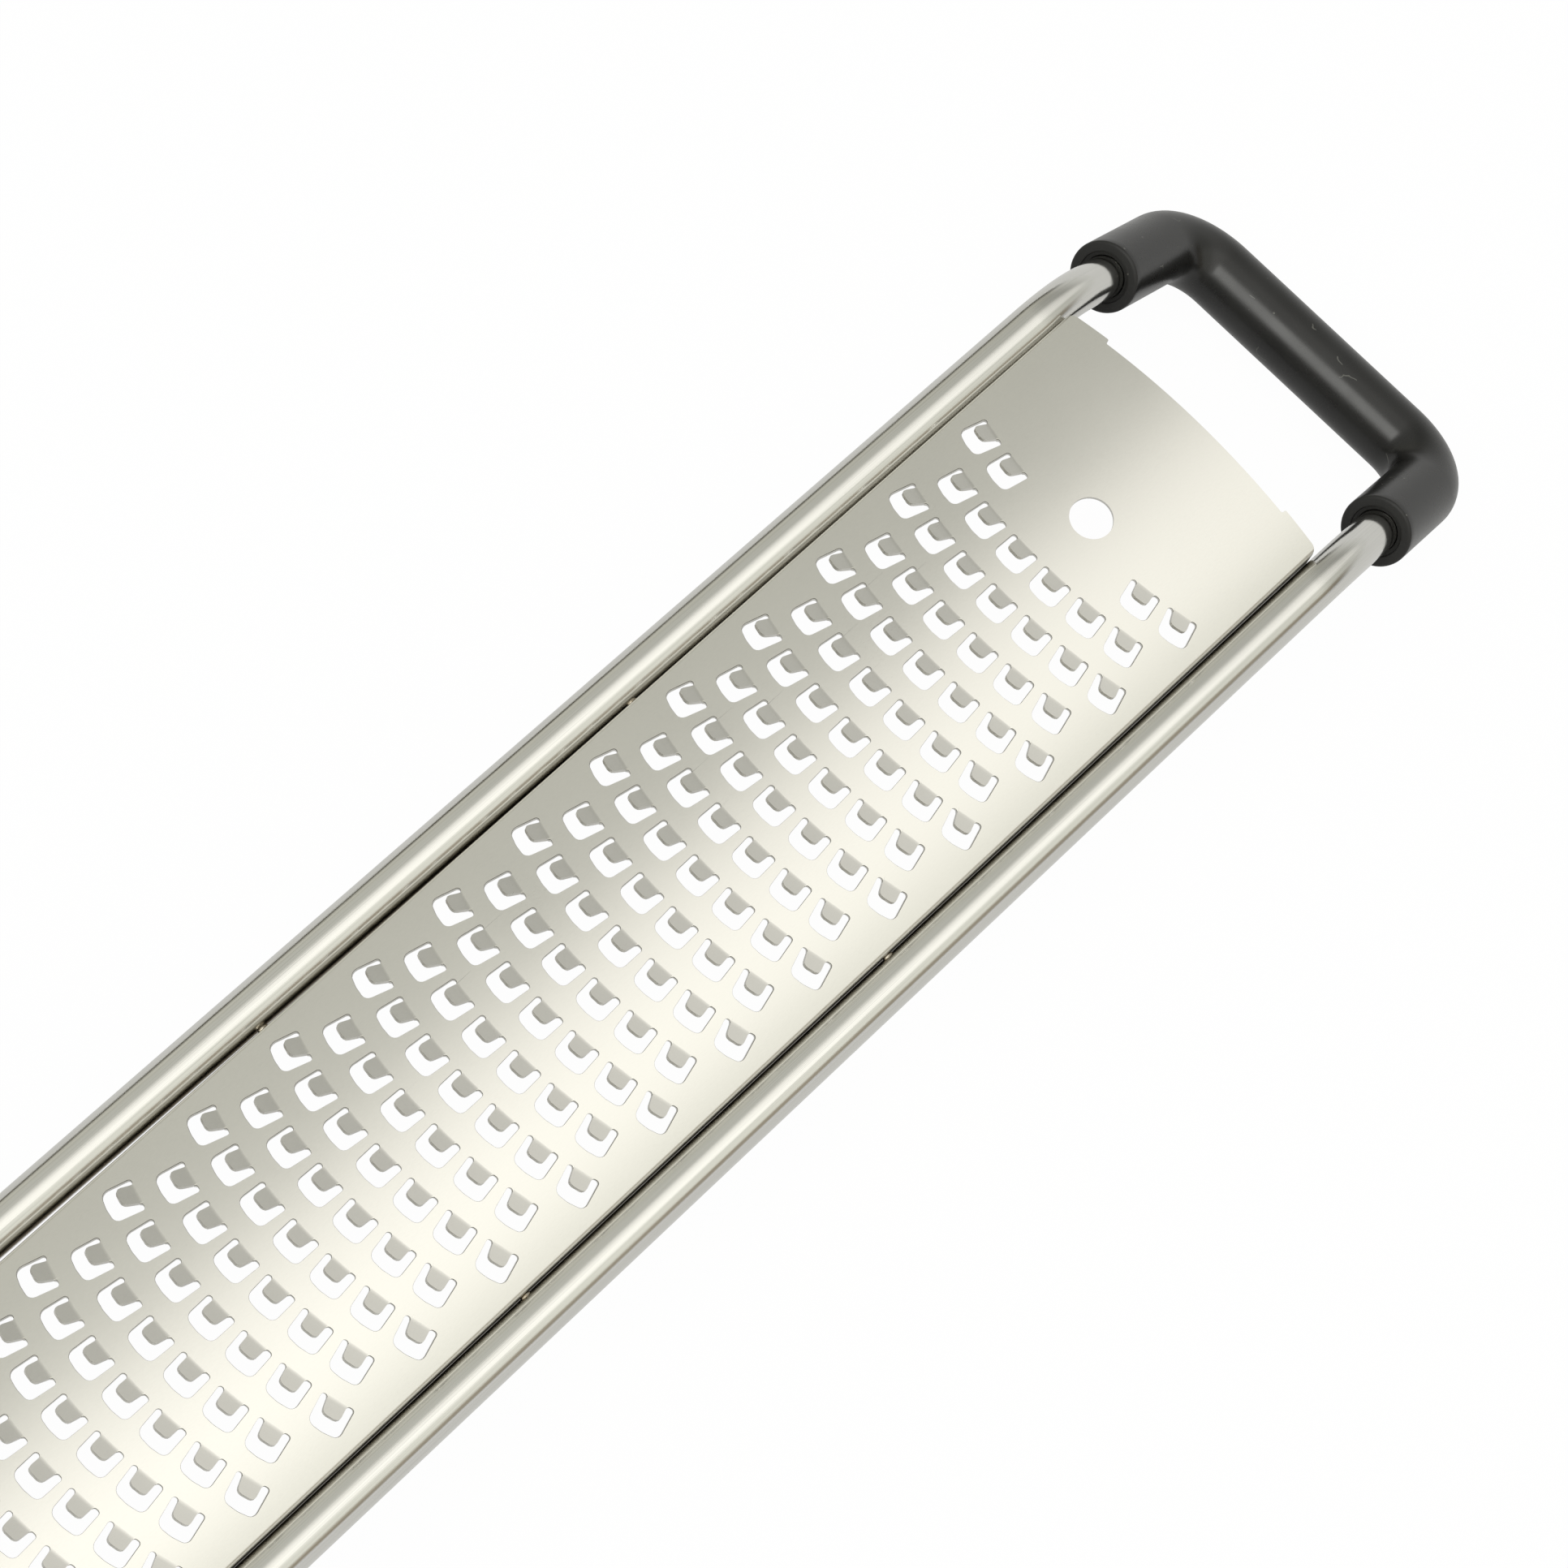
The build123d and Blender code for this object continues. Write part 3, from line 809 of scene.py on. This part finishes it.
def weldTree():
    tree, nodes, given = newTree("weldBeads", (
        ("Geometry", "Geometry"), ("Count", "Int"), ("First", "Float"), ("Pitch", "Float"), ("Side", "Float"),
        ("Height", "Float"), ("Radius", "Float"), ("Steel", "Material")))
    back = nodes.math("MULTIPLY", given["Pitch"], -1.0)
    step = nodes.add("ShaderNodeCombineXYZ", {1: back}).outputs[0]
    joined = nodes.add("GeometryNodeJoinGeometry")
    for side in (-1.0, 1.0):
        start = nodes.add("ShaderNodeCombineXYZ", {0: nodes.math("MULTIPLY", given["Side"], side),
                          1: given["First"], 2: given["Height"]}).outputs[0]
        line = nodes.add("GeometryNodeMeshLine", {"Count": given["Count"], "Start Location": start,
                         "Offset": step})
        nodes.link(line.outputs[0], joined.inputs[0])
    ball = nodes.add("GeometryNodeMeshIcoSphere", {"Radius": given["Radius"], "Subdivisions": 3}).outputs[0]
    wobble = nodes.add("ShaderNodeTexNoise", {"Scale": weld["lumps"], "Detail": 1.0}).outputs["Fac"]
    push = nodes.math("MULTIPLY", nodes.math("SUBTRACT", wobble, 0.5), weld["lumpHeight"])
    outward = nodes.add("GeometryNodeInputNormal").outputs[0]
    offset = nodes.add("ShaderNodeVectorMath", {0: outward, "Scale": push}, operation="SCALE").outputs[0]
    lumpy = nodes.add("GeometryNodeSetPosition", {"Geometry": ball, "Offset": offset}).outputs[0]
    copies = nodes.add("GeometryNodeInstanceOnPoints", {"Points": joined.outputs[0], "Instance": lumpy,
                       "Scale": weld["stretch"]}).outputs[0]
    endTree(nodes, copies, given["Steel"])
    return tree


weldPiece = placed("weldBeads", bpy.data.meshes.new("weldBeads"))
applyTree(weldPiece, weldTree(), {
    "Count": weld["count"], "First": rowY - weld["first"], "Pitch": weld["pitch"],
    "Side": blade["halfWidth"] + weld["pastEdge"], "Height": railZ + weld["aboveAxis"],
    "Radius": weld["radius"], "Steel": steelWeld})
finishPiece(weldPiece, steelWeld, weld["sharp"])
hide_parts("tack_welds")


# Handle

handle = {"collarLength": 9 * mm, "collarWall": 0.8 * mm, "collarBevel": 0.15 * mm, "rim": 1.1 * mm,
          "neckInset": 1.2 * mm, "gripLength": 77 * mm, "gripWall": 2.4 * mm, "gripEdge": 0.5 * mm,
          "gripSteps": 44, "coreSteps": 24, "coreGap": 0.05 * mm, "seam": 0.25 * mm, "step": 0.4 * mm,
          "buttRound": 7 * mm, "holeRadius": 4 * mm, "holeSoft": 0.5 * mm, "holeFromEnd": 13 * mm,
          "holeSides": 64, "sideShare": 0.47, "sides": 96, "wallShare": 0.98,
          "collarSharp": 40, "gripSharp": 50, "coreSharp": 35}
# width and height of the grip at distances back from the handle's front, in millimetres
gripSections = [(9, 28.0, 19.5), (31, 27.0, 18.5), (59, 32.0, 23.5), (86, 28.5, 20.5)]


# a ring across the handle: a rectangle with nearly half-round sides, smaller all round by the inset
def ovalRing(back, width, height, inset=0.0):
    width, height = width - 2 * inset, height - 2 * inset
    radius = min(width, height) * handle["sideShare"]
    quarter = handle["sides"] // 4
    points = []
    for cornerX, cornerZ, start in ((1, 1, 0), (-1, 1, 90), (-1, -1, 180), (1, -1, 270)):
        for k in range(quarter):
            t = radians(start + 90 * k / (quarter - 1))
            points.append(Vector((cornerX * (width / 2 - radius) + radius * cos(t),
                                  collarHigh.y - back,
                                  railZ + cornerZ * (height / 2 - radius) + radius * sin(t))))
    return points


# steps round a quarter turn, as how far each has come sideways and how far along, both from 0 to 1
def quarterTurn(steps):
    return [(1 - cos(pi / 2 * k / steps), sin(pi / 2 * k / steps)) for k in range(steps + 1)]


# width and height of the grip at a distance back, on a smooth curve through its sections
def gripSize(back):
    stations = [section[0] * mm for section in gripSections]
    i = 0
    while i < len(stations) - 2 and back > stations[i + 1]:
        i += 1
    span = stations[i + 1] - stations[i]
    t = min(1, max(0, (back - stations[i]) / span))
    sizes = []
    for column in (1, 2):
        values = [section[column] * mm for section in gripSections]

        def slopeAt(k):
            a, b = max(k - 1, 0), min(k + 1, len(values) - 1)
            return (values[b] - values[a]) / (stations[b] - stations[a])

        sizes.append((2 * t ** 3 - 3 * t ** 2 + 1) * values[i] + (3 * t ** 2 - 2 * t ** 3) * values[i + 1]
                     + ((t ** 3 - 2 * t ** 2 + t) * slopeAt(i) + (t ** 3 - t ** 2) * slopeAt(i + 1)) * span)
    return sizes


def collarRings():
    width, height = collarHigh.x - collarLow.x, collarHigh.z - collarLow.z
    rim, wall, length, bevel = (handle[key] for key in ("rim", "collarWall", "collarLength", "collarBevel"))
    stations = [(rim * sideways, rim * (1 - along)) for sideways, along in quarterTurn(6)]
    stations += [(length * 0.5, 0), (length - bevel, 0), (length, bevel), (length, wall), (wall * 2, wall)]
    return [ovalRing(back, width, height, inset) for back, inset in stations]


collarPiece = makePiece("handleCollar", skinRings(collarRings()), steelRod,
                        handle["collarSharp"])
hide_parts("handle_collar")


def gripRings():
    start = handle["collarLength"] + handle["seam"]
    end = handle["collarLength"] + handle["gripLength"] - handle["seam"]
    edge, wall, steps = handle["gripEdge"], handle["gripWall"] * handle["wallShare"], handle["gripSteps"]
    outer, inner = [], []
    for k in range(steps + 1):
        back = start + (end - start) * k / steps
        # the outside rounds in at both ends
        short = max(0, edge - min(back - start, end - back))
        outer.append(ovalRing(back, *gripSize(back), edge - sqrt(max(0, edge ** 2 - short ** 2))))
        inner.append(ovalRing(back, *gripSize(back), wall))
    return outer + inner[::-1]


gripPiece = makePiece("handleGrip", skinRings(gripRings(), loop=True), softGrip,
                      handle["gripSharp"])
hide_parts("handle_grip")


# from inside the collar, through the grip, to the rounded butt
def coreRings():
    start, length, steps = handle["collarLength"], handle["gripLength"], handle["coreSteps"]
    gripEnd, end = start + length, collarHigh.y - handleEnd
    # the neck starts within the collar's front wall
    neck, front = gripSize(start), 1.2 * handle["collarWall"]
    rings = [ovalRing(back, *neck, handle["neckInset"]) for back in (front, start)]
    for k in range(steps + 1):
        back = start + length * k / steps
        rings.append(ovalRing(back, *gripSize(back), handle["gripWall"] + handle["coreGap"]))
    butt, step, bend = gripSize(gripEnd), handle["step"], handle["buttRound"]
    rings += [ovalRing(gripEnd, *butt, step), ovalRing(gripEnd + step, *butt)]
    for sideways, along in quarterTurn(12):
        rings.append(ovalRing(end - bend + bend * along, *butt, bend * sideways))
    return rings


# the hanging hole with its softened mouths, as a solid
def hangSolid():
    middleY, radius, soft = handleEnd + handle["holeFromEnd"], handle["holeRadius"], handle["holeSoft"]
    halfHeight = gripSections[-1][2] * mm / 2
    levels = [(-halfHeight - mm, radius + soft)]
    levels += [(soft * along - halfHeight, radius + soft * (1 - along)) for sideways, along in quarterTurn(6)]
    levels += [(-z, r) for z, r in levels[::-1]]
    turns = [2 * pi * k / handle["holeSides"] for k in range(handle["holeSides"])]
    rings = [[Vector((r * cos(t), middleY + r * sin(t), railZ + z)) for t in turns] for z, r in levels]
    return meshObject("hangTool", skinRings(rings))


corePiece = makePiece("handleCore", skinRings(coreRings()), blackPlastic,
                      handle["coreSharp"])
hangTool = hangSolid()
cut = corePiece.modifiers.new("cut", "BOOLEAN")
cut.object, cut.operation, cut.solver = hangTool, "DIFFERENCE", "MANIFOLD"
keepResult(corePiece)
corePiece.data.set_sharp_from_angle(angle=radians(handle["coreSharp"]))
removeTools(hangTool)
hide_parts("handle_core")


# Floor, light and camera

# the shares of plain white that the camera and the metal see on the floor, in place of its lit grey
floorLook = {"halfSize": 2.0, "grey": (0.80, 0.80, 0.80, 1), "cameraShare": 0.975, "mirrorShare": 0.6,
             "mirrorDim": 0.3}


def studioFloor():
    size = floorLook["halfSize"]
    corners = [(-size, -size, 0), (size, -size, 0), (size, size, 0), (-size, size, 0)]
    mesh = bpy.data.meshes.new("floor")
    mesh.from_pydata(corners, [], [(0, 1, 2, 3)])
    material = bpy.data.materials.new("floorWhite")
    nodes = clearedNodes(material)
    path = nodes.add("ShaderNodeLightPath").outputs
    mirrored = nodes.math("MAXIMUM", path["Is Glossy Ray"], path["Is Transmission Ray"])
    # a little of the shadow stays in what the camera sees
    seen = nodes.math("MAXIMUM", nodes.math("MULTIPLY", path["Is Camera Ray"], floorLook["cameraShare"]),
                      nodes.math("MULTIPLY", mirrored, floorLook["mirrorShare"]))
    diffuse = nodes.add("ShaderNodeBsdfDiffuse", {"Color": floorLook["grey"]})
    # metal shows the floor a little greyer than the camera does
    strength = nodes.math("SUBTRACT", 1.0, nodes.math("MULTIPLY", mirrored, floorLook["mirrorDim"]))
    glow = nodes.add("ShaderNodeEmission", {"Color": (1, 1, 1, 1), "Strength": strength})
    nodes.add("ShaderNodeOutputMaterial", {0: nodes.mixShader(seen, diffuse, glow).outputs[0]})
    mesh.materials.append(material)
    floor = placed("floor", mesh)


# the studio: light at each place round the tool's long axis, in degrees from overhead, and how it
# changes lengthwise, from the handle's side at -1 to the tip's side at 1
studio = {"level": 1.7,
          "bands": [(-180, (0.50, 0.52, 0.55)), (-97, (0.50, 0.52, 0.55)), (-92, (0.06, 0.055, 0.04)),
                    (-82, (0.06, 0.055, 0.04)), (-77, (0.40, 0.395, 0.35)), (-63, (0.43, 0.425, 0.375)),
                    (-60, (0.29, 0.29, 0.26)), (-56, (0.42, 0.415, 0.375)), (-52, (0.39, 0.39, 0.355)),
                    (-24, (0.40, 0.40, 0.37)), (-6, (0.75, 0.74, 0.70)), (12, (0.89, 0.88, 0.835)),
                    (26, (0.88, 0.87, 0.82)), (32, (0.60, 0.60, 0.55)), (58, (0.60, 0.60, 0.545)),
                    (64, (0.28, 0.25, 0.20)), (78, (0.235, 0.21, 0.165)), (84, (0.50, 0.50, 0.50)),
                    (180, (0.53, 0.53, 0.53))],
          "lengthwise": [(-1, 0.30), (-0.83, 0.30), (-0.77, 0.95), (-0.30, 1.0), (0.32, 0.98), (0.45, 0.91),
                         (0.60, 0.68), (0.85, 0.60), (1, 0.68)],
          "strip": {"middle": (-0.10, -0.42), "half": (0.08, 0.17), "soft": (0.16, 0.17), "level": 5.0,
                    "colour": (1, 1, 0.96, 1)},
          "backdrop": {"colour": (0.74, 0.74, 0.71, 1), "along": (0.62, 0.86), "height": (0.0, 0.55)}}


def studioWorld():
    scene.world = bpy.data.worlds.new("studio")
    nodes = clearedNodes(scene.world)
    towards = nodes.add("ShaderNodeTexCoord").outputs["Generated"]
    x, y, z = nodes.add("ShaderNodeSeparateXYZ", {0: towards}).outputs
    around = nodes.mapped(nodes.math("ARCTAN2", x, z), (-pi, pi), (0.0, 1.0))
    bands = nodes.ramp(around, [((angle + 180) / 360, colour) for angle, colour in studio["bands"]])
    along = nodes.mapped(y, (-1.0, 1.0), (0.0, 1.0))
    lengthwise = nodes.ramp(along, [((place + 1) / 2, grey) for place, grey in studio["lengthwise"]])
    strength = nodes.math("MULTIPLY", lengthwise, studio["level"])
    dome = nodes.add("ShaderNodeBackground", {"Color": bands, "Strength": strength})
    # a narrow strip light over the handle's side
    strip = studio["strip"]
    lit = nodes.math("GREATER_THAN", z, 0.0)
    for towardsLight, middle, half, soft in zip((x, y), strip["middle"], strip["half"], strip["soft"]):
        away = nodes.math("ABSOLUTE", nodes.math("SUBTRACT", towardsLight, middle))
        lit = nodes.math("MULTIPLY", lit, nodes.mapped(away, (half, half + soft), (1.0, 0.0),
                                                       interpolation_type="SMOOTHSTEP"))
    lamp = nodes.add("ShaderNodeBackground", {"Color": strip["colour"], "Strength": strip["level"]})
    dome = nodes.mixShader(lit, dome, lamp)
    # past the tip the backdrop sweeps down into the floor
    backdrop = studio["backdrop"]
    beyond = nodes.mapped(y, backdrop["along"], (0.0, 1.0), interpolation_type="SMOOTHSTEP")
    low = nodes.mapped(z, backdrop["height"], (1.0, 0.0), interpolation_type="SMOOTHSTEP")
    sweep = nodes.add("ShaderNodeBackground", {"Color": backdrop["colour"], "Strength": 1.0})
    dome = nodes.mixShader(nodes.math("MULTIPLY", beyond, low), dome, sweep)
    white = nodes.add("ShaderNodeBackground", {"Color": (1, 1, 1, 1), "Strength": 1.0})
    camera = nodes.add("ShaderNodeLightPath").outputs["Is Camera Ray"]
    nodes.add("ShaderNodeOutputWorld", {0: nodes.mixShader(camera, dome, white).outputs[0]})


# its place is given from the middle of the first row of teeth
view = {"sensor": 36, "lens": 117.737, "clipStart": 0.01, "clipEnd": 20,
        "place": (83.67 * mm, -292.66 * mm, 596.8 * mm),
        "turn": ((0.7044, -0.6976, 0.1309), (0.6874, 0.6245, -0.3708), (0.1769, 0.3512, 0.9195))}


def studioCamera():
    data = bpy.data.cameras.new("camera")
    data.sensor_width, data.lens = view["sensor"], view["lens"]
    data.clip_start, data.clip_end = view["clipStart"], view["clipEnd"]
    camera = placed("camera", data)
    middle = Vector((0, rowY, crownZ)) + Vector(view["place"])
    camera.matrix_world = Matrix.Translation(middle) @ Matrix(view["turn"]).to_4x4()
    scene.camera = camera


studioFloor()
studioWorld()
studioCamera()
scene.view_settings.view_transform = "Standard"
print("studio ready")
